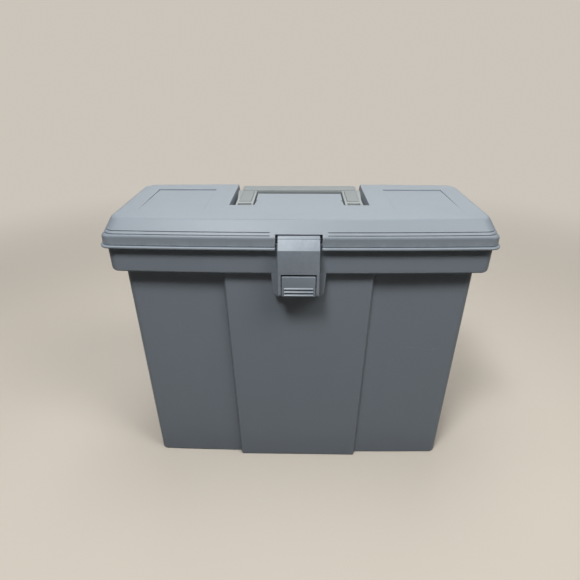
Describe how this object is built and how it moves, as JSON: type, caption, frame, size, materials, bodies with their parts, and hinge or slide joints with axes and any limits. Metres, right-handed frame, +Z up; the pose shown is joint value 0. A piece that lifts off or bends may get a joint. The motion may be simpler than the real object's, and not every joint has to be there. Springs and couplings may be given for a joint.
{
  "type": "portable file box",
  "caption": "Portable file box: tapered tub with rails for hanging folders, hinged lid, folding carry handle in a recess, and a front latch with a push release.",
  "frame": {"origin": "middle of the base, on the surface that the box stands on", "axes": "+X to the right as seen from the latch side, +Z up, -Y out of the front that carries the latch"},
  "size_m": [0.3512, 0.1646, 0.275],
  "materials": {
    "tub_plastic": "blue-grey moulded polypropylene, fine matt grain",
    "lid_plastic": "blue-grey moulded polypropylene, fine matt grain",
    "handle_plastic": "grey-green moulded polypropylene, satin pads",
    "latch_plastic": "blue-grey moulded plastic, slightly smoother than the tub",
    "pin_steel": "blackened steel wire",
    "spring_steel": "blued spring steel"
  },
  "bodies": {
    "tub": {"body_tub": "tub_plastic"},
    "lid": {"lid": "lid_plastic", "latch_pin": "pin_steel", "hinge_pin_left": "pin_steel", "hinge_pin_right": "pin_steel"},
    "carry_handle": {"carry_handle": "handle_plastic"},
    "latch_arm": {"latch_arm": "latch_plastic", "button_pin": "pin_steel", "button_spring": "spring_steel"},
    "release_button": {"release_button": "latch_plastic"}
  },
  "joints": [
    {"name": "lid_hinge", "type": "hinge", "parent": "tub", "child": "lid", "pos_m": [0, 0.0755, 0.247], "axis": [-1, 0, 0], "range_deg": [0, 110]},
    {"name": "handle_pivot", "type": "hinge", "parent": "lid", "child": "carry_handle", "pos_m": [0, -0.0035, 0.2683], "axis": [1, 0, 0], "range_deg": [0, 90]},
    {"name": "latch_pivot", "type": "hinge", "parent": "lid", "child": "latch_arm", "pos_m": [0, -0.0724, 0.2603], "axis": [-1, 0, 0], "range_deg": [0, 95]},
    {"name": "button_rock", "type": "hinge", "parent": "latch_arm", "child": "release_button", "pos_m": [0, -0.0774, 0.2177], "axis": [1, 0, 0], "range_deg": [0, 14], "stiffness_Nm_per_rad": 0.05, "springref_deg": -5.73, "deforming": ["button_spring"]}
  ]
}
